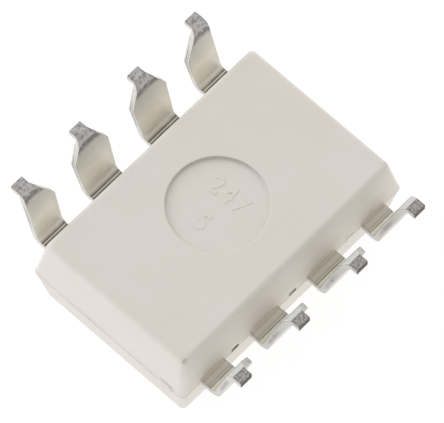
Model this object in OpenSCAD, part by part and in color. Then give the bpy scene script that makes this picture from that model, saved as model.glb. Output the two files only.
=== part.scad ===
// Eight-lead dual in-line package with short gull-wing leads, standing on its eight feet.
// X runs along the rows, Y across them and Z up from the board, with the feet at height 0.
// Leads 1 to 4 are the row on the -Y side, counted from the -X end.
// Leads 5 to 8 come back along the +Y side, so lead 8 faces lead 1.

/* [Body] */
// Length of the moulding at the parting line
body_length = 9.72; // [9.5:0.01:10.2]
// Width of the moulding at the parting line
body_width = 6.24; // [6.1:0.01:6.5]
// Height of the moulding from its underside to its top face
body_height = 3.55; // [3.2:0.01:3.8]
// Gap between the board and the underside
standoff = 0.6; // [0.3:0.01:0.8]
// Share of the moulding's height below the parting line
parting_share = 0.5; // [0.45:0.01:0.55]
// Draft of the two long sides, in degrees
side_draft = 8.5; // [5:0.5:12]
// Draft of the two ends, in degrees
end_draft = 10; // [5:0.5:12]
// Radius of the four upright corners
corner_radius = 0.26; // [0.1:0.01:0.4]
// Radius of the edges round the top face and the underside
edge_radius = 0.18; // [0.05:0.01:0.25]

/* [Moulding marks] */
// Diameter of the round ejector recess in the underside
recess_diameter = 3.2; // [2.5:0.05:4]
// Depth of the ejector recess
recess_depth = 0.12; // [0.05:0.01:0.2]
// Diameter of the dimple by lead 1 in the top face
dimple_diameter = 1; // [0.6:0.05:1.4]
// Depth of the dimple
dimple_depth = 0.12; // [0.05:0.01:0.2]
// Distance of the dimple's centre from the two edges of the top face
dimple_inset = 1.1; // [0.9:0.05:1.6]
// Width of the broken gate on the -X end
gate_width = 0.6; // [0.3:0.05:1]
// Height of the broken gate
gate_height = 0.36; // [0.2:0.02:0.5]
// How far the broken gate stands out
gate_stub = 0.04; // [0.01:0.01:0.1]
// Distance of the gate's middle from the +Y side
gate_inset = 0.72; // [0.6:0.05:1.5]

/* [Leads] */
// Distance between neighbouring leads of a row
pitch = 2.54; // [2.5:0.01:2.58]
// Thickness of the lead frame
frame_thickness = 0.25; // [0.2:0.01:0.3]
// Distance over the tips of the feet, from row to row
toe_span = 9.5; // [9.4:0.01:10]
// Width of a foot
foot_width = 0.48; // [0.36:0.01:0.56]
// Width of the two middle leads of a row where they leave the moulding
shoulder_width = 1.24; // [1:0.01:1.3]
// How far a wide side spreads from the moulding down to the taper
shoulder_flare = 0.09; // [0.01:0.01:0.12]
// Reach of a corner lead from its foot's axis towards the middle of the row, at the moulding
corner_reach = 0.775; // [0.6:0.005:0.85]
// Length of the straight shoulder outside the moulding
shoulder_length = 0.37; // [0.3:0.01:0.45]
// Length of the flat part of a foot
foot_length = 0.28; // [0.15:0.01:0.35]
// Radius of the shoulder bend at mid thickness
shoulder_bend = 0.3; // [0.22:0.01:0.5]
// Radius of the foot bend at mid thickness
foot_bend = 0.2; // [0.18:0.01:0.26]
// Height above the board where a middle lead starts to taper
middle_taper_height = 0.82; // [0.45:0.01:1]
// Height above the board where a corner lead starts to taper
corner_taper_height = 1; // [0.6:0.01:1.2]

/* [Inside] */
// Width of the inner stretch of a lead
finger_width = 0.8; // [0.6:0.01:0.9]
// How far the wide shoulder runs on inside the moulding
shoulder_bite = 0.3; // [0.2:0.01:0.4]
// Diameter of the hole through each finger that the moulding fills
lock_hole = 0.36; // [0.2:0.01:0.44]
// Width of the pad that carries the chip
pad_width = 2.3; // [2.1:0.01:2.5]
// Gap between the pad and the fingers round it
pad_gap = 0.25; // [0.2:0.01:0.35]
// Width of the bars that held the pad in the frame
tie_width = 0.28; // [0.2:0.01:0.3]
// Length of the chip
die_length = 2.6; // [2:0.01:3]
// Width of the chip
die_width = 1.5; // [1.2:0.01:1.8]
// Thickness of the chip
die_thickness = 0.28; // [0.2:0.01:0.35]
// Thickness of the adhesive under the chip
adhesive_thickness = 0.03; // [0.02:0.01:0.05]
// Thickness of a bond wire
wire_thickness = 0.05; // [0.04:0.01:0.06]

/* [Hidden] */

row_count = 4;
lead_count = 2 * row_count;
half_width = body_width / 2;
half_length = body_length / 2;
top_z = standoff + body_height;
parting_z = standoff + body_height * parting_share;
frame_top = parting_z + frame_thickness / 2;

// Levels of the moulding's outline, from the parting line to the rounded rim of a face
rim_steps = 3;
slab = 0.01;
corner_facets = 24;
cut_over = 0.5;

// Straight pieces that make up each bend of a lead
bend_steps = 10;

// Side view of a lead: shoulder, upper bend, splayed upright, lower bend and foot
toe_y = toe_span / 2;
shoulder_end = half_width + shoulder_length;
upper_centre = [shoulder_end, parting_z - shoulder_bend];
lower_centre = [toe_y - foot_length, frame_thickness / 2 + foot_bend];

// Lean of the upright, from the line that touches both bends on opposite sides
centres = lower_centre - upper_centre;
splay = 90 - atan2(-centres.y, centres.x) - asin((shoulder_bend + foot_bend) / norm(centres));
upright_top = upper_centre + shoulder_bend * [cos(splay), sin(splay)];

// The outline of a lead is drawn on a plane that leans half way between upright and foot
view_tilt = (90 - splay) / 2;
outline_reach = toe_span + top_z;

// Places inside the moulding
middle_tip_y = pad_width / 2 + pad_gap;
corner_tip_y = middle_tip_y / 2;
pad_length = 2 * ((row_count - 1) / 2 * pitch - corner_reach - pad_gap);
die_bottom = frame_top + adhesive_thickness;
die_top = die_bottom + die_thickness;
bond_margin = 0.2;
ball_diameter = 0.14;
ball_height = 0.04;
wire_sag = 0.25;

// Place of a lead along its row
function lead_x(lead) =
    let (place = lead <= row_count ? lead - 1 : lead_count - lead)
    (place - (row_count - 1) / 2) * pitch;

// The -Y row is the +Y row turned half round, so both rows share one drawing
function is_far(lead) = lead <= row_count;
function row_x(lead) = is_far(lead) ? -lead_x(lead) : lead_x(lead);

// +1 where the middle of the row is towards +X in the shared drawing, else -1
function inward(lead) = row_x(lead) < 0 ? 1 : -1;
function is_corner(lead) = abs(lead_x(lead)) > pitch;

// Where a point on the leaning plane of the outline lies, measured along that plane
function along_view(point) = point.x * cos(view_tilt) - point.y * sin(view_tilt);

// Point of the upright's middle line at a height
function upright_at(height) = [
    upright_top.x + (upright_top.y - height) * tan(splay),
    height
];

module rounded_outline(length, width, radius) {
    hull()
        for (x = [-1, 1], y = [-1, 1])
            translate([x * (length / 2 - radius), y * (width / 2 - radius)])
                circle(r = radius, $fn = corner_facets);
}

// One level of the moulding, at a distance from the parting line and drawn in by an inset
module level(side, distance, inset) {
    length = body_length - 2 * (distance * tan(end_draft) + inset);
    width = body_width - 2 * (distance * tan(side_draft) + inset);
    translate([0, 0, parting_z + side * distance - slab / 2])
        linear_extrude(slab)
            rounded_outline(length, width, corner_radius);
}

// Levels from the parting line to a face, the last few along the rounded rim
module drafted_half(side, face_distance) {
    level(side, 0, 0);
    for (step = [0 : rim_steps]) {
        angle = 90 * step / rim_steps;
        rim_drop = edge_radius * (1 - sin(angle)) + slab / 2;
        level(side, face_distance - rim_drop, edge_radius * (1 - cos(angle)));
    }
}

module moulding() {
    hull() {
        drafted_half(-1, body_height * parting_share);
        drafted_half(1, body_height * (1 - parting_share));
    }
}

module ejector_recess() {
    translate([0, 0, standoff - cut_over])
        cylinder(d = recess_diameter, h = cut_over + recess_depth, $fn = 96);
}

module lead_one_dimple() {
    top_half = body_height * (1 - parting_share);
    x = half_length - top_half * tan(end_draft) - dimple_inset;
    y = half_width - top_half * tan(side_draft) - dimple_inset;
    translate([-x, -y, top_z - dimple_depth])
        cylinder(d = dimple_diameter, h = dimple_depth + cut_over, $fn = 64);
}

module broken_gate() {
    translate([-half_length - gate_stub, half_width - gate_inset - gate_width / 2, parting_z - gate_height / 2])
        cube([gate_stub + shoulder_bite, gate_width, gate_height]);
}

// Points of an arc, with angles in degrees
function arc(centre, radius, from, to) = [
    for (step = [0 : bend_steps])
        let (angle = from + (to - from) * step / bend_steps)
        centre + radius * [cos(angle), sin(angle)]
];

// Side view of a lead from its root to its toe, with the distance from the middle plane as x
module lead_side() {
    half = frame_thickness / 2;
    root = half_width - shoulder_bite;
    polygon(concat(
        [[root, parting_z + half]],
        arc(upper_centre, shoulder_bend + half, 90, splay),
        arc(lower_centre, foot_bend - half, 180 + splay, 270),
        [[toe_y, frame_thickness], [toe_y, 0]],
        arc(lower_centre, foot_bend + half, 270, 180 + splay),
        arc(upper_centre, shoulder_bend - half, splay, 90),
        [[root, parting_z - half]]
    ));
}

// Outline of a lead on the leaning plane, from above the shoulder to the toe
module lead_outline(inner, outer, inner_flare, outer_flare, taper_height) {
    foot = foot_width / 2;
    flare_start = along_view([half_width, parting_z]);
    taper_start = along_view(upright_at(taper_height));
    taper_end = along_view([lower_centre.x, frame_thickness / 2]);
    start = along_view([half_width - shoulder_bite, top_z]) - cut_over;
    finish = along_view([toe_y, 0]) + cut_over;
    polygon([
        [-outer, start], [inner, start], [inner, flare_start], [inner + inner_flare, taper_start],
        [foot, taper_end], [foot, finish], [-foot, finish], [-foot, taper_end],
        [-outer - outer_flare, taper_start], [-outer, flare_start]
    ]);
}

// The stretch that stands in the moulding, drawn with the middle of the row towards +X
module finger(inner, outer, tip_y) {
    root_y = half_width - shoulder_bite;
    middle = (inner - outer) / 2;
    difference() {
        translate([middle - finger_width / 2, tip_y, parting_z - frame_thickness / 2])
            cube([finger_width, root_y + shoulder_bite - tip_y, frame_thickness]);
        translate([middle, root_y - lock_hole, parting_z - frame_thickness])
            cylinder(d = lock_hole, h = 2 * frame_thickness, $fn = 32);
    }
}

module lead_shape(inner, outer, outer_flare, tip_y, taper_height) {
    intersection() {
        translate([-shoulder_width, 0, 0])
            rotate([90, 0, 90])
                linear_extrude(2 * shoulder_width)
                    lead_side();
        rotate([-view_tilt, 0, 0])
            linear_extrude(2 * outline_reach, center = true)
                lead_outline(inner, outer, shoulder_flare, outer_flare, taper_height);
    }
    finger(inner, outer, tip_y);
}

// Turns the shared +Y row drawing to the row of a lead
module in_row(lead) {
    rotate(is_far(lead) ? 180 : 0)
        translate([row_x(lead), 0, 0])
            children();
}

module lead(number) {
    color([0.78, 0.77, 0.73])
        in_row(number)
            mirror([inward(number) > 0 ? 0 : 1, 0, 0])
                if (is_corner(number))
                    lead_shape(corner_reach, foot_width / 2, 0, corner_tip_y, corner_taper_height);
                else
                    lead_shape(shoulder_width / 2, shoulder_width / 2, shoulder_flare, middle_tip_y,
                        middle_taper_height);
}

module die_pad() {
    color([0.72, 0.7, 0.66])
        translate([0, 0, parting_z - frame_thickness / 2])
            linear_extrude(frame_thickness) {
                square([pad_length, pad_width], center = true);
                for (x = [-pitch, 0, pitch])
                    translate([x, 0])
                        square([tie_width, body_width], center = true);
            }
}

module adhesive() {
    color([0.55, 0.55, 0.5])
        translate([0, 0, frame_top + adhesive_thickness / 2])
            cube([die_length, die_width, adhesive_thickness], center = true);
}

module die() {
    color([0.3, 0.32, 0.38])
        translate([0, 0, die_bottom + die_thickness / 2])
            cube([die_length, die_width, die_thickness], center = true);
}

// Where a wire starts on the chip and ends on a finger, in the +Y row drawing
function chip_bond(lead) = is_corner(lead)
    ? [-inward(lead) * (die_length / 2 - bond_margin), die_width / 4]
    : [-inward(lead) * die_length / 4, die_width / 2 - bond_margin];
function finger_bond(lead) = is_corner(lead)
    ? [row_x(lead) + inward(lead) * (corner_reach - foot_width / 2) / 2, corner_tip_y + bond_margin]
    : [row_x(lead), middle_tip_y + bond_margin];

// Loop of square wire from a ball on the chip down to a finger
module wire_loop(span, drop) {
    chord = norm([span, drop]);
    sag = wire_sag * chord;
    centre = [span / 2 - sag * drop / chord, drop / 2 - sag * span / chord];
    radius = norm(centre - [span, 0]);
    translate([0, wire_thickness / 2, 0])
        rotate([90, 0, 0])
            linear_extrude(wire_thickness)
                intersection() {
                    translate(centre)
                        difference() {
                            circle(r = radius + wire_thickness / 2, $fn = 32);
                            circle(r = radius - wire_thickness / 2, $fn = 32);
                        }
                    polygon([
                        [-radius, drop], [centre.x, drop], [centre.x, 0],
                        [span + radius, 0], [span + radius, span + drop], [-radius, span + drop]
                    ]);
                }
    translate([0, 0, drop])
        cylinder(d = ball_diameter, h = ball_height, $fn = 16);
}

module wire(number) {
    start = chip_bond(number);
    reach = finger_bond(number) - start;
    color([0.85, 0.7, 0.3])
        rotate(is_far(number) ? 180 : 0)
            translate([start.x, start.y, frame_top])
                rotate(atan2(reach.y, reach.x))
                    wire_loop(norm(reach), die_top - frame_top);
}

// The moulding closes on the frame, the chip and its wires with no room to spare
module body() {
    color([0.86, 0.84, 0.81])
        difference() {
            union() {
                moulding();
                broken_gate();
            }
            ejector_recess();
            lead_one_dimple();
            for (number = [1 : lead_count]) {
                lead(number);
                wire(number);
            }
            die_pad();
            adhesive();
            die();
        }
}

body();
for (number = [1 : lead_count]) {
    lead(number);
    wire(number);
}
die_pad();
adhesive();
die();
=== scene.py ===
"""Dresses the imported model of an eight-lead dual in-line chip.

The chip stands on its feet with the board's surface at height 0. The camera looks up at its
underside, so in the picture it lies on its back. All lengths are metres.
"""

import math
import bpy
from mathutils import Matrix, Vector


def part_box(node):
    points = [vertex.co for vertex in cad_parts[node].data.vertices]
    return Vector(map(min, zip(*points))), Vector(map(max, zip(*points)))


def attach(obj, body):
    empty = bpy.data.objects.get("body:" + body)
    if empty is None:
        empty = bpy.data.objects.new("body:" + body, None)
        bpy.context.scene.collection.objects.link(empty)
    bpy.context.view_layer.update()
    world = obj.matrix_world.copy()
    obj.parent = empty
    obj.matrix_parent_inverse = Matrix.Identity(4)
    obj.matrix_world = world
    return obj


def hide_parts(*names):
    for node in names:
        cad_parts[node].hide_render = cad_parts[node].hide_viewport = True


bl_info = {
    "name": "Dual in-line chip",
    "version": (1, 0, 0),
    "blender": (4, 5, 0),
    "location": "3D View > Sidebar > Chip",
    "description": "Builds a moulded dual in-line chip with gull-wing leads over its packed model",
    "category": "Object",
}

import bmesh
import bpy
from bpy.props import FloatProperty, FloatVectorProperty, IntProperty, PointerProperty, StringProperty
from mathutils import Matrix, Vector, noise

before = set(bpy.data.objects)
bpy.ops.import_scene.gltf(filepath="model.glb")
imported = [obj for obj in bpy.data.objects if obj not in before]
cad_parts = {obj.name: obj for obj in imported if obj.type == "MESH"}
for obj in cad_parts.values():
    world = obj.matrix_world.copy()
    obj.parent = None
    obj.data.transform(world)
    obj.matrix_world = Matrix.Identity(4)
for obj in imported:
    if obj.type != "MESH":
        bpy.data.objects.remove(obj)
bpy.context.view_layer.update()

MM = 0.001
LEAD_COUNT = 8
ROW_COUNT = LEAD_COUNT // 2
LEADS = [f"lead_{number}" for number in range(1, LEAD_COUNT + 1)]
WIRES = [f"wire_{number}" for number in range(1, LEAD_COUNT + 1)]

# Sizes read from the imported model
BODY_LOW, BODY_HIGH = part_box("body")
PAD_LOW, PAD_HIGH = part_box("die_pad")
MIDDLE_LOW, MIDDLE_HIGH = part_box("lead_7")
CORNER_LOW, CORNER_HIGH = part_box("lead_8")
HALF_LENGTH = BODY_HIGH[0]
HALF_WIDTH = BODY_HIGH[1]
UNDERSIDE_Z = BODY_LOW[2]
TOP_Z = BODY_HIGH[2]
PARTING_Z = (PAD_LOW[2] + PAD_HIGH[2]) / 2
FRAME_THICKNESS = PAD_HIGH[2] - PAD_LOW[2]
TOE_Y = MIDDLE_HIGH[1]
GATE_STUB = -BODY_LOW[0] - HALF_LENGTH
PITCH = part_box("lead_6")[0][0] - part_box("lead_7")[0][0]
WIDEST_LEAD = MIDDLE_HIGH[0] - MIDDLE_LOW[0]


# Node trees


class Flow:
    """A socket that takes part in sums as a number would."""

    def __init__(self, graph, socket):
        self.graph = graph
        self.socket = socket

    def maths(self, operation, *values, clamp=False):
        settings = {"operation": operation, "use_clamp": clamp}
        return self.graph.add("ShaderNodeMath", settings, dict(enumerate((self, *values))))

    def __add__(self, other):
        return self.maths("ADD", other)

    __radd__ = __add__

    def __mul__(self, other):
        return self.maths("MULTIPLY", other)

    __rmul__ = __mul__

    def __sub__(self, other):
        return self.maths("SUBTRACT", other)

    def __rsub__(self, other):
        return (self * -1) + other

    def __truediv__(self, other):
        return self.maths("DIVIDE", other)

    def __pow__(self, other):
        return self.maths("POWER", other)

    def __gt__(self, other):
        return self.maths("GREATER_THAN", other)

    def __lt__(self, other):
        return self.maths("LESS_THAN", other)

    def size(self):
        return self.maths("ABSOLUTE")

    def clamped(self):
        return self.maths("ADD", 0, clamp=True)

    def band(self, low, high):
        """0 at low and 1 at high, held beyond them."""
        names = {"Value": self, "From Min": low, "From Max": high, "To Min": 0, "To Max": 1}
        return self.graph.add("ShaderNodeMapRange", {"clamp": True}, names)

    def line(self, centre, edge, core):
        """1 within core of a centre, fading to 0 at edge from it."""
        return (self - centre).size().band(edge, core)


class Graph:
    """A node tree that is written as expressions."""

    # Numbers of a Mix node's sockets for colours, because their names repeat
    FACTOR = 0
    FIRST = 6
    SECOND = 7
    MIXED = 2

    def __init__(self, tree):
        self.tree = tree

    def add(self, kind, settings=None, inputs=None, out=0):
        """Makes a node: its settings first, then the values or links of its sockets."""
        node = self.tree.nodes.new(kind)
        for name, value in (settings or {}).items():
            setattr(node, name, value)
        for key, value in (inputs or {}).items():
            if isinstance(value, Flow):
                self.tree.links.new(value.socket, node.inputs[key])
            else:
                node.inputs[key].default_value = value
        return Flow(self, node.outputs[out]) if len(node.outputs) else None

    def other(self, flow, name):
        """Another output of the node that a flow comes from."""
        return Flow(self, flow.socket.node.outputs[name])

    def blend(self, factor, first, second):
        """Mixes two colours."""
        names = {self.FACTOR: factor, self.FIRST: solid(first), self.SECOND: solid(second)}
        return self.add("ShaderNodeMix", {"data_type": "RGBA"}, names, out=self.MIXED)

    def place(self):
        """Where a point lies on the chip."""
        return self.add("ShaderNodeTexCoord", out="Object")

    def noise(self, vector, scale, detail, roughness):
        names = {"Vector": vector, "Scale": scale, "Detail": detail, "Roughness": roughness}
        return self.add("ShaderNodeTexNoise", {}, names)

    def axes(self, vector):
        """The three parts of a vector."""
        split = self.add("ShaderNodeSeparateXYZ", {}, {0: vector})
        return split, self.other(split, "Y"), self.other(split, "Z")

    def join(self, x, y, z):
        return self.add("ShaderNodeCombineXYZ", {}, {0: x, 1: y, 2: z})

    def vector(self, operation, first, second):
        out = "Value" if operation in ("DOT_PRODUCT", "DISTANCE") else 0
        return self.add("ShaderNodeVectorMath", {"operation": operation}, {0: first, 1: second}, out=out)

    def keep(self, shape, name, data_type, value):
        """Stores a value on the points of a shape, for its material to read."""
        settings = {"data_type": data_type, "domain": "POINT"}
        names = {"Geometry": shape, "Name": name, "Value": value}
        return self.add("GeometryNodeStoreNamedAttribute", settings, names)

    def kept(self, name, out):
        """A value that a shape stored, as a number or a vector."""
        settings = {"attribute_type": "GEOMETRY", "attribute_name": name}
        return self.add("ShaderNodeAttribute", settings, out=out)

    def move(self, shape, place):
        """Puts the points of a shape in new places."""
        return self.add("GeometryNodeSetPosition", {}, {"Geometry": shape, "Position": place})


def solid(colour):
    """Gives a plain colour its alpha, and lets a link through."""
    if isinstance(colour, Flow):
        return colour
    return (*colour[:3], 1)


def new_material(name):
    """An empty material and the graph that fills it."""
    material = bpy.data.materials.new(name)
    material.use_nodes = True
    material.node_tree.nodes.clear()
    return material, Graph(material.node_tree)


def finish_material(graph, sockets):
    """Ends a material in a Principled shader with the values or links of its sockets."""
    shader = graph.add("ShaderNodeBsdfPrincipled", {}, sockets)
    graph.add("ShaderNodeOutputMaterial", {}, {"Surface": shader})


# Finishes

# Colours of the leads where the tin is dull, pitted, pressed or cut through, and of painted shade on it
NEAR_BEND_SHADE = (0.56, 0.57, 0.56)
OUTER_SHADE_GREY = (0.52, 0.52, 0.51)
SHADE_BROWN = (0.5, 0.465, 0.395)
SOLE_GREY = (0.47, 0.465, 0.465)
FAR_PIT = (0.23, 0.21, 0.205)
NEAR_SHADED_PIT = (0.19, 0.165, 0.155)
TOE_SHADE = (0.09, 0.075, 0.065)
PRESS_AND_SHADE_DARK = (0.12, 0.1, 0.08)
SHEAR_LIGHT = (0.8, 0.78, 0.745)
SHEAR_GREY = (0.68, 0.665, 0.64)
NEAR_SHADED_SHEAR = (0.62, 0.61, 0.58)
EDGE_DARK = (0.21, 0.185, 0.16)

# Lines across the inner side of a lead at the bend, partly where the bending tool pressed and partly
# painted shadow and reflection lines: how far from the bend's start and half how wide, in millimetres, and
# how strong on the far row and on the near row
PRESS_AND_SHADE_LINES = (
    (-0.3, 0.02, 0.4, 0.35),
    (-0.1, 0.045, 1.0, 0.3),
    (0.005, 0.045, 1.0, 0.7),
    (0.075, 0.07, 0.6, 0.1),
)


def tinted(colour, factors):
    """A colour with each of its parts times a factor."""
    return tuple(part * factor for part, factor in zip(colour, factors))


def bumped(graph, height, strength, distance):
    names = {"Strength": strength, "Distance": distance, "Height": height}
    return graph.add("ShaderNodeBump", {}, names)


def near(graph, place, centre, radius):
    """1 at a point, fading to 0 at a radius."""
    return graph.vector("DISTANCE", place, centre).band(radius, 0)


def moulding_compound(settings):
    """Pale filled epoxy with the fine matt skin of its mould, and painted shade along its parting line,
    its lower side edges and in its recess.
    """
    material, graph = new_material("moulding_compound")
    place = graph.place()
    x, y, z = graph.axes(place)
    mottle = graph.noise(place, 420, 4, 0.6)
    cloud = graph.noise(place, 1500, 3, 0.55)
    specks = graph.noise(place, 11000, 2, 0.6)
    grain = graph.noise(place, 24000, 3, 0.6)
    pale = tuple(settings.colour)
    warm = tinted(pale, (0.985, 0.967, 0.952))
    cool = tinted(pale, (0.97, 0.992, 0.98))
    shaded_pale = tinted(pale, (0.87, 0.895, 0.89))
    grey = tinted(pale, (0.72, 0.72, 0.72))
    dark = tinted(pale, (0.35, 0.35, 0.35))
    colour = graph.blend(mottle.band(0.4, 0.66), pale, warm)
    colour = graph.blend(cloud.band(0.5, 0.72) * 0.6, colour, cool)
    colour = graph.blend(specks.band(0.68, 0.78) * 0.25, colour, grey)

    # Painted shade along the parting line, broken by noise, and a broad band of painted shade about it at
    # both ends
    seam = z.line(PARTING_Z, 0.07 * MM, 0.01 * MM) * cloud.band(0.4, 0.62)
    colour = graph.blend(seam * 0.25, colour, grey)
    ends = x.size() > HALF_LENGTH - 0.4 * MM
    # painted shade: a broad darker band about the parting line near each end
    worn = z.line(PARTING_Z - 0.03 * MM, 0.24 * MM, 0.05 * MM) * ends
    colour = graph.blend(worn * (0.12 + cloud.band(0.42, 0.6) * 0.14), colour, grey)

    # A small chip at the corner of -X and +Y, and a scuff at that of +X and +Y
    chip_at = (0.42 * MM - HALF_LENGTH, HALF_WIDTH - 0.24 * MM, UNDERSIDE_Z + 0.06 * MM)
    scuff_at = (HALF_LENGTH - 0.37 * MM, HALF_WIDTH - 0.3 * MM, UNDERSIDE_Z)
    scuff = near(graph, place, scuff_at, 0.2 * MM) * 0.4 * grain.band(0.3, 0.6)
    marks = near(graph, place, chip_at, 0.17 * MM).band(0, 0.6) + scuff
    colour = graph.blend(marks.clamped() * 0.85, colour, dark)

    # Painted shade along the lower edges of the long sides
    side_shade = z.band(UNDERSIDE_Z + 0.9 * MM, UNDERSIDE_Z + 0.12 * MM)
    side_shade = side_shade * y.size().band(HALF_WIDTH - 0.36 * MM, HALF_WIDTH - 0.28 * MM)
    colour = graph.blend(side_shade * 0.85, colour, shaded_pale)

    # Painted shade in the corner of the recess, on its side towards -Y
    rim = settings.recess_diameter / 2
    radius = graph.vector("DISTANCE", graph.join(x, y, 0), (0, 0, 0))
    corner = radius.band(rim - 0.16 * MM, rim - 0.03 * MM) ** 2 * radius.band(rim + 0.03 * MM, rim)
    corner = corner * (z < PARTING_Z) * (x * 0.35 - y * 0.94).band(-0.2 * MM, rim)
    colour = graph.blend(corner * 0.8, colour, grey)

    relief = grain * 0.6 + cloud * 1.2 + mottle * 3
    roughness = 0.5 + mottle.band(0.3, 0.7) * 0.08 + grain * 0.08
    normal = bumped(graph, relief, 0.35, 0.006 * MM)
    sockets = {"Base Color": colour, "Roughness": roughness, "Normal": normal, "Specular IOR Level": 0.4}
    finish_material(graph, sockets)
    return material


def tinned_metal(settings):
    """Satin tin plating, with marks of the bending tool, sheared sides and dull feet, and painted shade
    and a painted highlight.
    """
    material, graph = new_material("tinned_metal")
    place = graph.place()
    x, y, z = graph.axes(place)
    distance = graph.kept("distance", "Fac")
    sideways = graph.kept("across", "Fac")
    across = sideways.size()
    out_of_middle = graph.vector("SUBTRACT", place, graph.kept("middle", "Vector"))
    facing = graph.kept("facing", "Vector")
    depth = graph.vector("DOT_PRODUCT", out_of_middle, facing) / (FRAME_THICKNESS / 2)
    grain = graph.noise(graph.join(x * 4, y, z), 7000, 4, 0.65)
    blotch = graph.noise(place, 1800, 4, 0.6)
    frost = graph.noise(place, 15000, 3, 0.75)
    pits = graph.noise(place, 6500, 2, 0.6)
    # The near row of the picture is on the +Y side, the far row on the -Y side
    near_row = y > 0
    far_row = 1 - near_row
    inner = depth.band(-0.6, -0.9)

    # Clear tin above; painted shade makes it greyer towards the feet, on the far leads' +X sides, low on
    # the near leads and on the outer side
    bright = tuple(settings.colour)
    dull = tinted(bright, (0.93, 0.92, 0.9))
    shaded_tin = tinted(bright, (0.64, 0.64, 0.65))
    colour = graph.blend(blotch.band(0.38, 0.64), bright, dull)
    colour = graph.blend(z.band(1.4 * MM, 0.55 * MM) * 0.95 * far_row, colour, shaded_tin)
    colour = graph.blend((sideways * -1).band(0.2, 1) * far_row * 0.45, colour, shaded_tin)
    colour = graph.blend(z.band(0.6 * MM, 0.45 * MM) * near_row, colour, NEAR_BEND_SHADE)
    colour = graph.blend(depth.band(0.6, 0.9) * 0.8, colour, OUTER_SHADE_GREY)

    # Dull foot with frosted pits, darkest at its borders and its toe; that darkening and the darker near
    # row are painted shade
    arch = z - across * across * 0.09 * MM + (blotch - 0.5) * 0.12 * MM
    bend = arch.band(0.42 * MM, 0.24 * MM) * far_row
    inner_end = TOE_Y - 0.35 * MM
    flat = y.band(inner_end, inner_end + 0.02 * MM)
    foot = (bend + flat).clamped()
    # the near row's soles are darker: painted shade
    spots_and_shade = frost.band(0.4, 0.58) * (0.65 + near_row * 0.2) + near_row * 0.12
    spots_and_shade = spots_and_shade + (pits.band(0.54, 0.64) * 0.8 - pits.band(0.46, 0.36) * 0.6) * far_row
    # painted shade at the foot's borders, towards its bend and near the near feet's inner end
    spots_and_shade = spots_and_shade + arch.band(0.09 * MM, 0.15 * MM) * 0.55 + across.band(0.75, 0.98) * 0.45
    spots_and_shade = spots_and_shade + y.band(inner_end + 0.08 * MM, inner_end) * near_row * 0.5
    # painted highlight: a light arc across the far feet
    highlight_arc = arch.line(0.07 * MM, 0.035 * MM, 0.01 * MM) * far_row
    pits_and_shade = graph.blend(near_row, FAR_PIT, NEAR_SHADED_PIT)
    sole = graph.blend((spots_and_shade - highlight_arc * 0.6).clamped(), SOLE_GREY, pits_and_shade)
    colour = graph.blend(foot * inner, colour, sole)
    # Painted shade on the toe
    toe = y.size().band(TOE_Y - 0.03 * MM, TOE_Y - 0.006 * MM)
    colour = graph.blend(toe * (0.75 + frost * 0.5), colour, TOE_SHADE)

    # Painted shade on the inner side of the shoulder, strongest on the near row; then lines across the
    # inner side, partly where the bending tool pressed and partly painted shadow and reflection lines of
    # the bend
    start = settings.root_bite + settings.shoulder_length
    shoulder = distance.band(start + 0.02 * MM, start - 0.02 * MM) * inner
    colour = graph.blend(shoulder * (0.25 + near_row * 0.65), colour, SHADE_BROWN)
    shade = distance.band(start + 0.34 * MM, start + 0.16 * MM) * inner * far_row
    colour = graph.blend(shade * 0.55, colour, SHADE_BROWN)
    # marks: press marks of the bending tool, with painted shadow and reflection lines
    marks = 0
    for offset, width, far_strength, near_strength in PRESS_AND_SHADE_LINES:
        press_and_shade = distance.line(start + offset * MM, width * MM, width * 0.4 * MM)
        marks = press_and_shade * (far_strength + near_row * (near_strength - far_strength)) + marks
    marks = (marks * inner * (0.55 + blotch * 0.8)).clamped()
    colour = graph.blend(marks, colour, PRESS_AND_SHADE_DARK)
    rim = across.band(0.9, 0.99) * shoulder
    colour = graph.blend(rim * 0.5, colour, EDGE_DARK)

    # Bands of the sheared sides, from the smooth cut to the torn break
    side = depth.size().band(0.97, 0.9)
    shear = graph.blend(grain.band(0.4, 0.7), SHEAR_LIGHT, SHEAR_GREY)
    # the near row's sheared sides get a darker copy: painted shade
    shear = graph.blend(near_row, shear, NEAR_SHADED_SHEAR)
    colour = graph.blend(side * (1 - toe), colour, shear)
    lip = depth.line(-0.84, 0.14, 0.06)
    tear = depth.line(0.3, 0.12, 0.05) + depth.line(-0.15, 0.1, 0.04) * 0.7
    tear = tear + depth.band(-0.45, -0.2) * depth.band(0.6, 0.35) * 0.35
    tear = tear * z.band(0.45 * MM, 0.75 * MM) * z.band(1.8 * MM, 1.5 * MM) * blotch.band(0.28, 0.45)
    groove = depth.line(0.5, 0.14, 0.04) + depth.line(-0.25, 0.12, 0.04) * 0.6
    groove = groove * far_row * 0.45
    lines = (lip * (0.85 - near_row * 0.35) + tear * 0.6 + groove).clamped()
    colour = graph.blend(lines * side, colour, EDGE_DARK)

    relief = grain * 0.2 + frost * (foot * 1.2 + side * 0.4 + 0.05) - marks - lines
    roughness = 0.34 + blotch.band(0.3, 0.7) * 0.08 + foot * 0.12 + side * 0.08
    normal = bumped(graph, relief, 0.4, 0.004 * MM)
    sockets = {"Base Color": colour, "Metallic": 0.5, "Roughness": roughness, "Normal": normal}
    finish_material(graph, sockets)
    return material


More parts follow.
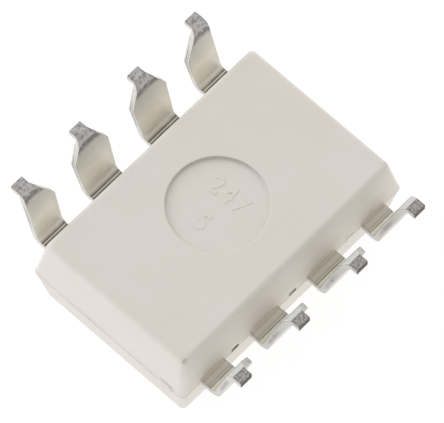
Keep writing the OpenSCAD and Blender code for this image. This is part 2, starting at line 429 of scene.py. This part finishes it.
def bar_metal(settings):
    """Bare copper alloy of the pad and its bars, whose cut ends are mostly smeared with compound."""
    material, graph = new_material("bar_metal")
    place = graph.place()
    x, y, z = graph.axes(place)
    grain = graph.noise(place, 9000, 4, 0.6)
    blotch = graph.noise(place, 2600, 2, 0.5)
    metal = graph.blend(grain.band(0.35, 0.7), (0.12, 0.095, 0.075), (0.2, 0.17, 0.14))
    outside = y.size().band(HALF_WIDTH - 0.08 * MM, HALF_WIDTH - 0.04 * MM)
    bare = (z + blotch * 0.03 * MM).line(PARTING_Z - 0.055 * MM, 0.065 * MM, 0.05 * MM)
    far_bar = x.band(PITCH * 0.5, PITCH)
    smear = (outside * (1 - bare) + outside * far_bar * 0.8).clamped()
    colour = graph.blend(smear, metal, tuple(settings.colour))
    sockets = {
        "Base Color": colour,
        "Metallic": 1 - smear,
        "Roughness": 0.45 + grain * 0.1,
        "Normal": bumped(graph, grain, 0.5, 0.004 * MM),
    }
    finish_material(graph, sockets)
    return material


def plain_finish(name, colour, metallic, roughness, scale, depth):
    """A simple finish with a little grain, for the pieces inside the moulding."""
    material, graph = new_material(name)
    grain = graph.noise(graph.place(), scale, 4, 0.6)
    darker = tinted(colour, (0.75, 0.75, 0.75))
    sockets = {
        "Base Color": graph.blend(grain.band(0.35, 0.7), colour, darker),
        "Metallic": metallic,
        "Roughness": roughness + grain * 0.1,
        "Normal": bumped(graph, grain, depth, 0.004 * MM),
    }
    finish_material(graph, sockets)
    return material


# Meshes


def put_in_scene(name, data):
    """A new object with its mesh, curve, camera or lamp."""
    piece = bpy.data.objects.new(name, data)
    bpy.context.collection.objects.link(piece)
    return piece


def new_piece(name, mesh, material):
    """Puts a finished mesh in the scene, on the chip's one body."""
    piece = put_in_scene(name, mesh)
    mesh.materials.clear()
    mesh.materials.append(material)
    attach(piece, "root")
    return piece


def mesh_from(build_mesh, name):
    mesh = bpy.data.meshes.new(name)
    build_mesh.to_mesh(mesh)
    build_mesh.free()
    return mesh


def smooth_mesh(build_mesh, name):
    """A closed mesh, smooth and with its faces pointing outwards."""
    bmesh.ops.recalc_face_normals(build_mesh, faces=build_mesh.faces)
    mesh = mesh_from(build_mesh, name)
    mesh.polygons.foreach_set("use_smooth", [True] * len(mesh.polygons))
    mesh.update()
    return mesh


def heading(angle):
    """The direction at an angle from +X."""
    return Vector((math.cos(angle), math.sin(angle)))


def outline_points(length, width, radius, settings):
    """A rectangle with round corners, run counter-clockwise, with points along its straights too."""
    points = []
    corners = ((1, 1, 0), (-1, 1, 90), (-1, -1, 180), (1, -1, 270))
    centres = [Vector((x * (length / 2 - radius), y * (width / 2 - radius))) for x, y, _ in corners]
    for index, (_, _, start) in enumerate(corners):
        for step in range(settings.corner_steps + 1):
            angle = math.radians(start + 90 * step / settings.corner_steps)
            points.append(centres[index] + radius * heading(angle))
        reach = radius * heading(math.radians(start + 90))
        after = centres[(index + 1) % len(centres)]
        for step in range(1, settings.straight_steps):
            share = step / settings.straight_steps
            points.append((centres[index] + reach).lerp(after + reach, share))
    return points


def circle_points(outline, length, width, centre, radius):
    """A circle with one point for each point of an outline, in the same order."""
    points = []
    for point in outline:
        angle = math.atan2(point.y / width, point.x / length)
        x = centre[0] + radius * math.cos(angle)
        y = centre[1] + radius * math.sin(angle)
        points.append(Vector((x, y)))
    return points


def skin_rings(build_mesh, rings):
    """Joins rings of points, each a list and a height, into one wall."""
    rows = []
    for points, height in rings:
        rows.append([build_mesh.verts.new((point.x, point.y, height)) for point in points])
    count = len(rows[0])
    for lower, upper in zip(rows, rows[1:]):
        for index in range(count):
            after = (index + 1) % count
            build_mesh.faces.new((lower[index], lower[after], upper[after], upper[index]))
    return rows


def close_ring(build_mesh, ring, centre, height):
    """Closes a ring with a fan about a point."""
    middle = build_mesh.verts.new((centre[0], centre[1], height))
    for index, vertex in enumerate(ring):
        build_mesh.faces.new((vertex, ring[(index + 1) % len(ring)], middle))


def quarter_turn(steps):
    """What sine and cosine leave of 1, in steps from 0 to 90 degrees."""
    angles = [math.radians(90 * step / steps) for step in range(steps + 1)]
    return [(1 - math.sin(angle), 1 - math.cos(angle)) for angle in angles]


def half_rings(side, settings, dent):
    """Rings of one half of the moulding, from the parting line to the middle of its face.

    side is 1 for the top half and -1 for the half below the parting line. dent holds the centre,
    radius and depth of the round dent in its face.
    """
    face_z = TOP_Z if side > 0 else UNDERSIDE_Z
    rise = abs(face_z - PARTING_Z)
    rim = settings.edge_radius
    narrow = settings.side_edge / rim
    hold = rim * 0.35
    flash = settings.flash
    arc = quarter_turn(settings.rim_steps)

    def ring(distance, inset, turned=0):
        length = 2 * (HALF_LENGTH - inset - turned - distance * math.tan(settings.end_draft))
        width = 2 * (HALF_WIDTH - inset - turned * narrow - distance * math.tan(settings.side_draft))
        points = outline_points(length, width, settings.corner_radius, settings)
        return points, PARTING_Z + side * distance, length, width

    rings = [
        ring(flash, 0),
        ring(flash * 1.5, flash),
        ring(flash + hold, flash),
        ring(rise - rim - hold, flash),
    ]
    for drop, tuck in arc:
        rings.append(ring(rise - rim * drop, flash, rim * tuck))
    rings.append(ring(rise, flash, rim + hold))
    outline, _, length, width = rings[-1]

    centre, radius, depth = dent
    lip = settings.dent_lip

    def circle(size, distance):
        points = circle_points(outline, length, width, centre, size)
        return points, PARTING_Z + side * distance

    dented = [circle(radius + lip * 2, rise), circle(radius + lip, rise)]
    for drop, tuck in arc[1:]:
        dented.append(circle(radius + lip * drop, rise - lip * tuck))
    for drop, tuck in arc:
        dented.append(circle(radius - lip * tuck, rise - depth + lip * drop))
    dented.append(circle(radius - lip * 2, rise - depth))
    dented.append(circle(radius * 0.5, rise - depth))
    plain = [(points, height) for points, height, _, _ in rings]
    return plain + dented, centre, PARTING_Z + side * (rise - depth)


def moulding_mesh(settings):
    """The closed moulding, lofted from the middle of its top face to the middle of its underside."""
    recess = ((0, 0), settings.recess_diameter / 2, settings.dent_depth)
    top_rise = TOP_Z - PARTING_Z
    dimple_x = HALF_LENGTH - top_rise * math.tan(settings.end_draft) - settings.dimple_inset
    dimple_y = HALF_WIDTH - top_rise * math.tan(settings.side_draft) - settings.dimple_inset
    dimple = ((-dimple_x, -dimple_y), settings.dimple_diameter / 2, settings.dent_depth)
    below, below_centre, below_z = half_rings(-1, settings, recess)
    above, above_centre, above_z = half_rings(1, settings, dimple)
    build_mesh = bmesh.new()
    rows = skin_rings(build_mesh, above[::-1] + below)
    close_ring(build_mesh, rows[0][::-1], above_centre, above_z)
    close_ring(build_mesh, rows[-1], below_centre, below_z)
    return smooth_mesh(build_mesh, "moulding")


def gate_mesh(settings):
    """The broken gate at the parting line of the -X end, a low pad with a rough face."""
    build_mesh = bmesh.new()
    steps = 14
    grain_scale = 14000
    bulge = 0.12
    half = Vector((settings.gate_width / 2, settings.gate_height / 2))
    middle_y = HALF_WIDTH - settings.gate_inset
    # From one border to the other, across as u and upwards as v
    shares = [2 * step / steps - 1 for step in range(steps + 1)]
    rows = []
    for v in shares:
        row = []
        for u in shares:
            y = middle_y + half.x * u * (1 - bulge * v * v)
            z = PARTING_Z + half.y * v * (1 - bulge * u * u)
            edge = max(abs(u), abs(v))
            proud = GATE_STUB * 0.65 * (1 - max(0, edge - 0.6) / 0.4)
            rough = GATE_STUB * 0.3 * noise.noise(Vector((y, z, 0)) * grain_scale)
            dish = GATE_STUB * 0.35 * math.exp(-6 * (u * u + v * v))
            x = -HALF_LENGTH - max(0, min(GATE_STUB, proud + rough - dish))
            if edge == 1:
                x = -HALF_LENGTH + settings.gate_bite
            row.append(build_mesh.verts.new((x, y, z)))
        rows.append(row)
    for lower, upper in zip(rows, rows[1:]):
        for index in range(steps):
            build_mesh.faces.new((lower[index], upper[index], upper[index + 1], lower[index + 1]))
    rim = [edge for edge in build_mesh.edges if edge.is_boundary]
    bmesh.ops.contextual_create(build_mesh, geom=rim)
    return smooth_mesh(build_mesh, "broken_gate")


def figures_mesh(name, text, settings, place):
    """Raised figures at a place on the recess floor, read from below, with their tops towards +X."""
    curve = bpy.data.curves.new("figures", "FONT")
    curve.body = text
    curve.align_x = "CENTER"
    curve.align_y = "CENTER"
    curve.size = 1
    curve.space_character = 1.15
    curve.extrude = 0.035
    curve.bevel_depth = 0.02
    curve.bevel_resolution = 2
    curve.resolution_u = 6
    holder = put_in_scene("figures", curve)
    mesh = evaluated_mesh(holder, name)
    bpy.data.objects.remove(holder)
    bpy.data.curves.remove(curve)
    lows = [min(v.co[axis] for v in mesh.vertices) for axis in range(3)]
    highs = [max(v.co[axis] for v in mesh.vertices) for axis in range(3)]
    middle = (Vector(lows) + Vector(highs)) / 2
    scale = settings.height / (highs[1] - lows[1])
    squeeze = 2 * settings.proud / (highs[2] - lows[2])
    # Text axes: its right runs along +Y, its up along +X, and it faces -Z
    turn = Matrix(((0, 1, 0, 0), (1, 0, 0, 0), (0, 0, -1, 0), (0, 0, 0, 1)))
    size = Matrix.Diagonal((scale, scale, squeeze, 1))
    mesh.transform(Matrix.Translation(place) @ turn @ size @ Matrix.Translation(-middle))
    return mesh


# Leads, as a node tree

# Inputs that one lead's tree and the tree of both rows have in common
SHARED_SIZES = (
    "Flare start", "Root", "Upper corner", "Lower corner", "Toe", "Shoulder height", "Foot height",
    "Shoulder bend", "Foot bend", "Half foot", "View tilt", "Taper end",
)
STRIP_SIZES = ("Left", "Right", "Left flare", "Right flare", "Taper start", *SHARED_SIZES)
ROW_SIZES = (
    "Pitch", "Half shoulder", "Corner reach", "Flare", "Middle taper", "Corner taper", *SHARED_SIZES,
)
BEND_STEPS = 18
POINTS_ACROSS = 5
POINTS_ALONG = 110


def group_tree(name, inputs, output):
    """A tree's graph, and the flow from each of its inputs, given as names and kinds of socket."""
    tree = bpy.data.node_groups.new(name, "GeometryNodeTree")
    for label, kind in inputs:
        tree.interface.new_socket(label, in_out="INPUT", socket_type=f"NodeSocket{kind}")
    tree.interface.new_socket(output, in_out="OUTPUT", socket_type="NodeSocketGeometry")
    graph = Graph(tree)
    entry = graph.add("NodeGroupInput")
    return graph, {label: graph.other(entry, label) for label, _ in inputs}


def point_row(graph, count):
    """A row of points, and the number of each."""
    names = {"Count": count, "Offset": (0, 1, 0)}
    row = graph.add("GeometryNodeMeshLine", {"mode": "OFFSET"}, names)
    return row, graph.add("GeometryNodeInputIndex")


def strip_tree():
    """One lead's middle surface: a grid laid along the bent path, its sides drawn in to the foot."""
    graph, size = group_tree("lead_strip", [(name, "Float") for name in STRIP_SIZES], "Strip")
    corners = (
        ("Root", "Shoulder height"),
        ("Upper corner", "Shoulder height"),
        ("Lower corner", "Foot height"),
        ("Toe", "Foot height"),
    )
    places = [graph.join(0, size[y], size[z]) for y, z in corners]
    points, index = point_row(graph, len(corners))
    at = places[0]
    for number, place in enumerate(places[1:], start=1):
        names = {"Switch": index > number - 0.5, "False": at, "True": place}
        at = graph.add("GeometryNodeSwitch", {"input_type": "VECTOR"}, names)
    path = graph.add("GeometryNodeMeshToCurve", {}, {"Mesh": graph.move(points, at)})
    first_bend = size["Shoulder bend"]
    radius = first_bend + (index > 1.5) * (size["Foot bend"] - first_bend)
    names = {"Curve": path, "Count": BEND_STEPS, "Radius": radius}
    path = graph.add("GeometryNodeFilletCurve", {"mode": "POLY"}, names)

    names = {"Size X": 1, "Size Y": 1, "Vertices X": POINTS_ACROSS, "Vertices Y": POINTS_ALONG}
    grid = graph.add("GeometryNodeMeshGrid", {}, names)
    u, v, _ = graph.axes(graph.add("GeometryNodeInputPosition"))
    settings = {"mode": "FACTOR", "use_all_curves": True}
    names = {"Curves": path, "Factor": v + 0.5}
    sample = graph.add("GeometryNodeSampleCurve", settings, names, out="Position")
    _, along, height = graph.axes(sample)
    tilt = size["View tilt"]
    seen = along * tilt.maths("COSINE") - height * tilt.maths("SINE")
    spread = seen.band(size["Flare start"], size["Taper start"])
    drawn_in = seen.band(size["Taper start"], size["Taper end"])
    left = size["Left"] - size["Left flare"] * spread
    right = size["Right"] + size["Right flare"] * spread
    left = left + drawn_in * (size["Half foot"] * -1 - left)
    right = right + drawn_in * (size["Half foot"] - right)
    x = left + (right - left) * (u + 0.5)
    distance = (v + 0.5) * graph.add("GeometryNodeCurveLength", {}, {"Curve": path})
    grid = graph.keep(grid, "distance", "FLOAT", distance)
    grid = graph.keep(grid, "across", "FLOAT", u * 2)
    graph.add("NodeGroupOutput", {}, {0: graph.move(grid, graph.join(x, along, height))})
    return graph.tree


def rows_tree(strip):
    """Eight strips on the two rows, with half shoulders at the ends of each row."""
    inputs = [("Geometry", "Geometry"), *((name, "Float") for name in ROW_SIZES), ("Finish", "Material")]
    graph, size = group_tree("lead_rows", inputs, "Geometry")
    half = size["Half shoulder"]
    reach = size["Corner reach"]
    foot = size["Half foot"]
    flare = size["Flare"]

    def kind(left, right, left_flare, right_flare, taper):
        """One kind of lead, by how far its shoulder and its flare reach to each side."""
        shared = {name: size[name] for name in SHARED_SIZES}
        own = {"Left": left * -1, "Right": right, "Taper start": size[taper]}
        flares = {"Left flare": left_flare, "Right flare": right_flare}
        return graph.add("GeometryNodeGroup", {"node_tree": strip}, {**shared, **own, **flares})

    middle = kind(half, half, flare, flare, "Middle taper")
    reach_left = kind(reach, foot, flare, 0, "Corner taper")
    reach_right = kind(foot, reach, 0, flare, "Corner taper")

    row, index = point_row(graph, LEAD_COUNT)
    near_row = index > ROW_COUNT - 0.5
    in_row = index - near_row * ROW_COUNT
    place = in_row + near_row * (ROW_COUNT - 1 - 2 * in_row)
    x = (place - (ROW_COUNT - 1) / 2) * size["Pitch"]
    points = graph.move(row, graph.join(x, 0, 0))
    half_turn = graph.join(0, 0, (1 - near_row) * math.pi)
    turn = graph.add("FunctionNodeEulerToRotation", {}, {0: half_turn})
    first = in_row < 0.5
    last = in_row > ROW_COUNT - 1.5
    joined = graph.tree.nodes.new("GeometryNodeJoinGeometry")
    for shape, chosen in ((reach_left, first), (reach_right, last), (middle, 1 - first - last)):
        names = {"Points": points, "Selection": chosen, "Instance": shape, "Rotation": turn}
        placed = graph.add("GeometryNodeInstanceOnPoints", {}, names)
        graph.tree.links.new(placed.socket, joined.inputs[0])
    leads = graph.add("GeometryNodeRealizeInstances", {}, {0: Flow(graph, joined.outputs[0])})
    leads = graph.add("GeometryNodeSetShadeSmooth", {}, {0: leads})
    leads = graph.keep(leads, "middle", "FLOAT_VECTOR", graph.add("GeometryNodeInputPosition"))
    leads = graph.keep(leads, "facing", "FLOAT_VECTOR", graph.add("GeometryNodeInputNormal"))
    finish = {"Geometry": leads, "Material": size["Finish"]}
    graph.add("NodeGroupOutput", {}, {0: graph.add("GeometryNodeSetMaterial", {}, finish)})
    return graph.tree


def lead_path(settings):
    """Sizes of the bent path, from the bends' centres and the line that touches both."""
    half = FRAME_THICKNESS / 2
    upper = Vector((HALF_WIDTH + settings.shoulder_length, PARTING_Z - settings.shoulder_bend))
    lower = Vector((TOE_Y - settings.foot_length, half + settings.foot_bend))
    gap = lower - upper
    both_bends = settings.shoulder_bend + settings.foot_bend
    lean = math.pi / 2 - math.atan2(-gap.y, gap.x) - math.asin(both_bends / gap.length)
    tilt = (math.pi / 2 - lean) / 2
    upright_top = upper + settings.shoulder_bend * heading(lean)

    def seen(y, z):
        return y * math.cos(tilt) - z * math.sin(tilt)

    def upright_seen(height):
        return seen(upright_top.x + (upright_top.y - height) * math.tan(lean), height)

    return {
        "Pitch": PITCH,
        "Half shoulder": WIDEST_LEAD / 2 - settings.flare,
        "Corner reach": CORNER_HIGH[0] - CORNER_LOW[0] - settings.foot_width / 2 - settings.flare,
        "Half foot": settings.foot_width / 2,
        "Flare": settings.flare,
        "Flare start": seen(HALF_WIDTH, PARTING_Z),
        "Middle taper": upright_seen(settings.middle_taper_height),
        "Corner taper": upright_seen(settings.corner_taper_height),
        "Root": HALF_WIDTH - settings.root_bite,
        "Upper corner": upper.x + settings.shoulder_bend * math.tan(tilt),
        "Lower corner": lower.x - settings.foot_bend * math.tan(tilt),
        "Toe": TOE_Y,
        "Shoulder height": PARTING_Z,
        "Foot height": half,
        "Shoulder bend": settings.shoulder_bend,
        "Foot bend": settings.foot_bend,
        "View tilt": tilt,
        "Taper end": seen(lower.x, half),
    }


def evaluated_mesh(piece, name):
    """The plain mesh that an object and its modifiers give."""
    bpy.context.view_layer.update()
    depsgraph = bpy.context.evaluated_depsgraph_get()
    mesh = bpy.data.meshes.new_from_object(piece.evaluated_get(depsgraph), depsgraph=depsgraph)
    mesh.name = name
    return mesh


def leads_mesh(settings, material):
    """The eight leads, laid out by the node tree and given their thickness and worn edges."""
    carrier = put_in_scene("lead_carrier", bpy.data.meshes.new("lead_carrier"))
    modifier = carrier.modifiers.new("lead_rows", "NODES")
    modifier.node_group = rows_tree(strip_tree())
    values = {**lead_path(settings), "Finish": material}
    for item in modifier.node_group.interface.items_tree:
        if item.in_out == "INPUT" and item.name in values:
            modifier[item.identifier] = values[item.name]
    surface = evaluated_mesh(carrier, "lead_surface")
    carrier.modifiers.clear()
    carrier.data = surface
    wall = carrier.modifiers.new("wall", "SOLIDIFY")
    wall.thickness = FRAME_THICKNESS
    wall.offset = 0
    wall.use_even_offset = True
    soften = carrier.modifiers.new("soften", "BEVEL")
    soften.width = settings.edge_softness
    soften.segments = 2
    soften.limit_method = "ANGLE"
    soften.angle_limit = math.radians(50)
    soften.use_clamp_overlap = True
    soften.harden_normals = True
    mesh = evaluated_mesh(carrier, "leads")
    bpy.data.objects.remove(carrier)
    return mesh


# Settings that a user would change


def metres(name, description, default):
    """A length in metres, shown to a thousandth of a millimetre."""
    return FloatProperty(name=name, description=description, default=default,
                         subtype="DISTANCE", precision=6)


class MouldingSettings(bpy.types.PropertyGroup):
    side_draft: FloatProperty(name="Side draft", description="Draft of the long sides",
                              default=math.radians(8.5), subtype="ANGLE")
    end_draft: FloatProperty(name="End draft", description="Draft of the ends",
                             default=math.radians(10), subtype="ANGLE")
    corner_radius: metres("Corner radius", "Radius of the upright corners", 0.18 * MM)
    edge_radius: metres("Edge radius", "Radius round the two faces", 0.18 * MM)
    side_edge: metres("Side edge", "Width of the rounding along the two long sides", 0.13 * MM)
    flash: metres("Flash", "Height of the ridge at the parting line", 0.007 * MM)
    recess_diameter: metres("Recess", "Diameter of the ejector recess", 3.2 * MM)
    dent_depth: metres("Dent depth", "Depth of the recess and of the dimple", 0.12 * MM)
    dent_lip: metres("Dent lip", "Radius of the lips of the recess and the dimple", 0.035 * MM)
    dimple_diameter: metres("Dimple", "Diameter of the dimple by lead 1", 1 * MM)
    dimple_inset: metres("Dimple inset", "Distance of the dimple from the face's edges", 1.1 * MM)
    gate_width: metres("Gate width", "Width of the broken gate", 0.6 * MM)
    gate_height: metres("Gate height", "Height of the broken gate", 0.36 * MM)
    gate_inset: metres("Gate inset", "Distance of the gate's middle from the +Y side", 0.72 * MM)
    gate_bite: metres("Gate bite", "How far the gate's rim runs into the moulding", 0.06 * MM)
    corner_steps: IntProperty(name="Corner steps", description="Pieces of each round corner",
                              default=10, min=2)
    straight_steps: IntProperty(name="Straight steps", description="Pieces of each straight side",
                                default=18, min=2)
    rim_steps: IntProperty(name="Rim steps", description="Pieces of each round edge", default=6, min=2)
    colour: FloatVectorProperty(name="Colour", description="Colour of the moulding compound",
                                default=(0.66, 0.625, 0.59), subtype="COLOR")


class FigureSettings(bpy.types.PropertyGroup):
    upper: StringProperty(name="Upper figures", description="Plain mould numbers nearer the +X end",
                          default="247")
    lower: StringProperty(name="Lower figure", description="Plain mould number nearer the -X end",
                          default="5")
    height: metres("Height", "Height of the figures", 0.64 * MM)
    proud: metres("Proud", "How far the figures stand off the recess floor", 0.015 * MM)
    upper_x: metres("Upper place", "Place of the upper figures along X", 0.5 * MM)
    lower_x: metres("Lower place", "Place of the lower figure along X", -0.7 * MM)


class LeadSettings(bpy.types.PropertyGroup):
    shoulder_length: metres("Shoulder", "Straight shoulder outside the moulding", 0.37 * MM)
    shoulder_bend: metres("Shoulder bend", "Radius at mid thickness", 0.3 * MM)
    foot_bend: metres("Foot bend", "Radius at mid thickness", 0.2 * MM)
    foot_length: metres("Foot length", "Flat part of a foot", 0.28 * MM)
    foot_width: metres("Foot width", "Width of a foot", 0.48 * MM)
    flare: metres("Flare", "How far a wide side spreads down to the taper", 0.09 * MM)
    middle_taper_height: metres("Middle taper", "Height where a middle lead tapers", 0.82 * MM)
    corner_taper_height: metres("Corner taper", "Height where a corner lead tapers", 1 * MM)
    root_bite: metres("Root bite", "How far a lead runs on into the moulding", 0.3 * MM)
    edge_softness: metres("Edge softness", "Width of the worn edges", 0.022 * MM)
    colour: FloatVectorProperty(name="Colour", description="Colour of the tin plating",
                                default=(0.98, 0.965, 0.88), subtype="COLOR")


class StageSettings(bpy.types.PropertyGroup):
    camera_place: FloatVectorProperty(name="Camera", description="Place of the camera",
                                      default=(-74.982 * MM, 69.392 * MM, -217.651 * MM),
                                      subtype="TRANSLATION")
    camera_aim: FloatVectorProperty(name="Aim", description="Direction that the camera looks in",
                                    default=(0.31091, -0.28702, 0.90607), subtype="DIRECTION")
    camera_up: FloatVectorProperty(name="Up", description="Direction that is up in the picture",
                                   default=(0.65941, -0.6214, -0.42312), subtype="DIRECTION")
    lens: FloatProperty(name="Lens", description="Focal length in millimetres on a 36 mm sensor",
                        default=648.65)
    ambient: FloatProperty(name="Ambient", description="Light from the side that the feet point to",
                           default=1.08)
    table_light: FloatProperty(name="Table light", description="Light off the table round the top face",
                               default=1.8)
    fade_x: FloatProperty(name="Fade to -X", description="How much less light comes from -X", default=0.23)
    fade_y: FloatProperty(name="Fade to +Y", description="How much less light comes from +Y", default=0.43)
    side: FloatProperty(name="Side lamp", description="Lamp on the -Y side", default=0.22)
    floor_radius: metres("Floor radius", "Radius of each floor", 80 * MM)


# Operators


class CHIP_OT_moulding(bpy.types.Operator):
    """Builds the moulding and its broken gate in place of the plain solid"""

    bl_idname = "chip.moulding"
    bl_label = "Moulding"

    def execute(self, context):
        settings = context.scene.chip_moulding
        material = moulding_compound(settings)
        body = new_piece("moulding", moulding_mesh(settings), material)
        new_piece("broken_gate", gate_mesh(settings), material)
        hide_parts("body")
        return {"FINISHED"}


class CHIP_OT_figures(bpy.types.Operator):
    """Raises plain mould numbers on the floor of the ejector recess"""

    bl_idname = "chip.figures"
    bl_label = "Mould figures"

    def execute(self, context):
        settings = context.scene.chip_figures
        floor_z = UNDERSIDE_Z + context.scene.chip_moulding.dent_depth
        material = bpy.data.materials["moulding_compound"]
        rows = (
            ("upper_figures", settings.upper, settings.upper_x),
            ("lower_figure", settings.lower, settings.lower_x),
        )
        for name, text, x in rows:
            mesh = figures_mesh(name, text, settings, (x, 0, floor_z))
            new_piece(name, mesh, material)
        return {"FINISHED"}


class CHIP_OT_leads(bpy.types.Operator):
    """Bends the eight leads in place of the plain ones"""

    bl_idname = "chip.leads"
    bl_label = "Leads"

    def execute(self, context):
        settings = context.scene.chip_leads
        material = tinned_metal(settings)
        mesh = leads_mesh(settings, material)
        if not mesh.polygons:
            raise RuntimeError("the node tree gave no leads")
        leads = new_piece("leads", mesh, material)
        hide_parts(*LEADS)
        return {"FINISHED"}


class CHIP_OT_inside(bpy.types.Operator):
    """Finishes the pad and its bars, the adhesive, the chip and the bond wires"""

    bl_idname = "chip.inside"
    bl_label = "Inside pieces"

    def execute(self, context):
        finishes = {
            "die_pad": bar_metal(context.scene.chip_moulding),
            "adhesive": plain_finish("die_adhesive", (0.5, 0.5, 0.46), metallic=0.0,
                                     roughness=0.5, scale=7000, depth=0.3),
            "die": plain_finish("silicon", (0.16, 0.17, 0.21), metallic=0.4,
                                roughness=0.2, scale=5000, depth=0.1),
        }
        gold = plain_finish("bond_wire", (0.85, 0.68, 0.3), metallic=1.0,
                            roughness=0.25, scale=20000, depth=0.2)
        finishes.update(dict.fromkeys(WIRES, gold))
        for name, material in finishes.items():
            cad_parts[name].material_slots[0].material = material
        return {"FINISHED"}


class CHIP_OT_stage(bpy.types.Operator):
    """Sets the camera, the lamp, the world and the two floors"""

    bl_idname = "chip.stage"
    bl_label = "Stage"

    def execute(self, context):
        settings = context.scene.chip_stage
        place_camera(settings)
        light_world(settings)
        place_lamp("side_lamp", settings.side, direction=(-0.15, -0.93, -0.33), spread=24)
        material = floor_material()
        place_floor("board_floor", 0, 1, settings.floor_radius, material)
        place_floor("table_floor", TOP_Z, -1, settings.floor_radius, material)
        context.scene.view_settings.view_transform = "Standard"
        return {"FINISHED"}


# Stage

WHITE = (1.0, 1.0, 1.0)
COOL_WHITE = (1.0, 1.003, 1.02)
WARM_WHITE = (1.0, 0.988, 0.945)
FLOOR_GREY = (0.16, 0.16, 0.16)
FLOOR_GLOW = 0.88
FLOOR_GAP = 0.002 * MM
OVERHEAD_LOSS = 1.2


def place_camera(settings):
    """The photograph's view, from below and from the -X and +Y side."""
    camera = bpy.data.cameras.new("camera")
    camera.sensor_width = 36
    camera.lens = settings.lens
    camera.clip_start = 0.01
    camera.clip_end = 10
    holder = put_in_scene("camera", camera)
    aim = Vector(settings.camera_aim).normalized()
    side = aim.cross(Vector(settings.camera_up)).normalized()
    up = side.cross(aim)
    turn = Matrix((side, up, -aim)).transposed().to_4x4()
    holder.matrix_world = Matrix.Translation(settings.camera_place) @ turn
    bpy.context.scene.camera = holder


def place_lamp(name, strength, direction, spread):
    """A far lamp, spread degrees wide, that lights a facing white surface at a share of white."""
    lamp = bpy.data.lights.new(name, "SUN")
    lamp.energy = strength * math.pi
    lamp.angle = math.radians(spread)
    holder = put_in_scene(name, lamp)
    holder.rotation_euler = Vector(direction).to_track_quat("Z", "Y").to_euler()


def light_world(settings):
    """Soft light, brightest from the table and weaker from -X and +Y, and a white background."""
    world = bpy.data.worlds.new("studio")
    bpy.context.scene.world = world
    world.use_nodes = True
    world.node_tree.nodes.clear()
    graph = Graph(world.node_tree)
    ray = graph.add("ShaderNodeLightPath", out="Is Camera Ray")
    mirrored = graph.other(ray, "Is Glossy Ray")
    through = graph.other(ray, "Is Transmission Ray")
    shown = (ray + mirrored + through).clamped()
    x, y, height = graph.axes(graph.add("ShaderNodeTexCoord", out="Generated"))
    below = settings.ambient - y.clamped() * settings.fade_y - (x * -1).clamped() * settings.fade_x
    above = settings.table_light - height.band(0.4, 0.9) * OVERHEAD_LOSS
    level = below + (above - below) * height.band(-0.05, 0.1)
    tint = graph.blend((x + y).band(-1.2, 1.2), COOL_WHITE, WARM_WHITE)
    colour = graph.blend(shown, tint, WHITE)
    strength = level + shown * (1 - level)
    background = graph.add("ShaderNodeBackground", {}, {"Color": colour, "Strength": strength})
    graph.add("ShaderNodeOutputWorld", {}, {"Surface": background})


def floor_material():
    """A white floor that shows only from its front and keeps a soft shadow."""
    material, graph = new_material("white_floor")
    ray = graph.add("ShaderNodeLightPath", out="Is Camera Ray")
    through = graph.other(ray, "Is Transmission Ray")
    back = graph.add("ShaderNodeNewGeometry", out="Backfacing")
    card = graph.add("ShaderNodeBsdfDiffuse", {}, {"Color": solid(FLOOR_GREY)})
    glow = graph.add("ShaderNodeEmission", {}, {"Color": solid(WHITE), "Strength": FLOOR_GLOW})
    lit = graph.add("ShaderNodeAddShader", {}, {0: card, 1: glow})
    clear = graph.add("ShaderNodeBsdfTransparent")
    shown = (ray + through).clamped() * (1 - back)
    surface = graph.add("ShaderNodeMixShader", {}, {0: shown, 1: clear, 2: lit})
    graph.add("ShaderNodeOutputMaterial", {}, {"Surface": surface})
    return material


def place_floor(name, height, side, radius, material):
    """A round floor at a height, facing up for side 1 and down for side -1."""
    build_mesh = bmesh.new()
    turn = Matrix.Identity(4) if side > 0 else Matrix.Rotation(math.pi, 4, "X")
    place = Matrix.Translation((0, 0, height - side * FLOOR_GAP))
    bmesh.ops.create_circle(build_mesh, cap_ends=True, segments=96, radius=radius, matrix=place @ turn)
    mesh = mesh_from(build_mesh, name)
    mesh.materials.append(material)
    put_in_scene(name, mesh)


class CHIP_PT_panel(bpy.types.Panel):
    """Lists the chip's building steps"""

    bl_label = "Chip"
    bl_idname = "CHIP_PT_panel"
    bl_space_type = "VIEW_3D"
    bl_region_type = "UI"
    bl_category = "Chip"

    def draw(self, context):
        for operator in OPERATORS:
            self.layout.operator(operator.bl_idname)
        for name in SETTINGS:
            group = getattr(context.scene, name)
            for key in group.__annotations__:
                self.layout.prop(group, key)


SETTINGS = {
    "chip_moulding": MouldingSettings,
    "chip_figures": FigureSettings,
    "chip_leads": LeadSettings,
    "chip_stage": StageSettings,
}
OPERATORS = (CHIP_OT_moulding, CHIP_OT_figures, CHIP_OT_leads, CHIP_OT_inside, CHIP_OT_stage)


def register():
    for group in SETTINGS.values():
        bpy.utils.register_class(group)
    for operator in OPERATORS:
        bpy.utils.register_class(operator)
    bpy.utils.register_class(CHIP_PT_panel)
    for name, group in SETTINGS.items():
        setattr(bpy.types.Scene, name, PointerProperty(type=group))


def unregister():
    for name in SETTINGS:
        delattr(bpy.types.Scene, name)
    bpy.utils.unregister_class(CHIP_PT_panel)
    for operator in reversed(OPERATORS):
        bpy.utils.unregister_class(operator)
    for group in reversed(SETTINGS.values()):
        bpy.utils.unregister_class(group)


def main():
    register()
    bpy.ops.chip.moulding()
    bpy.ops.chip.figures()
    bpy.ops.chip.leads()
    bpy.ops.chip.inside()
    bpy.ops.chip.stage()


if __name__ == "__main__":
    main()
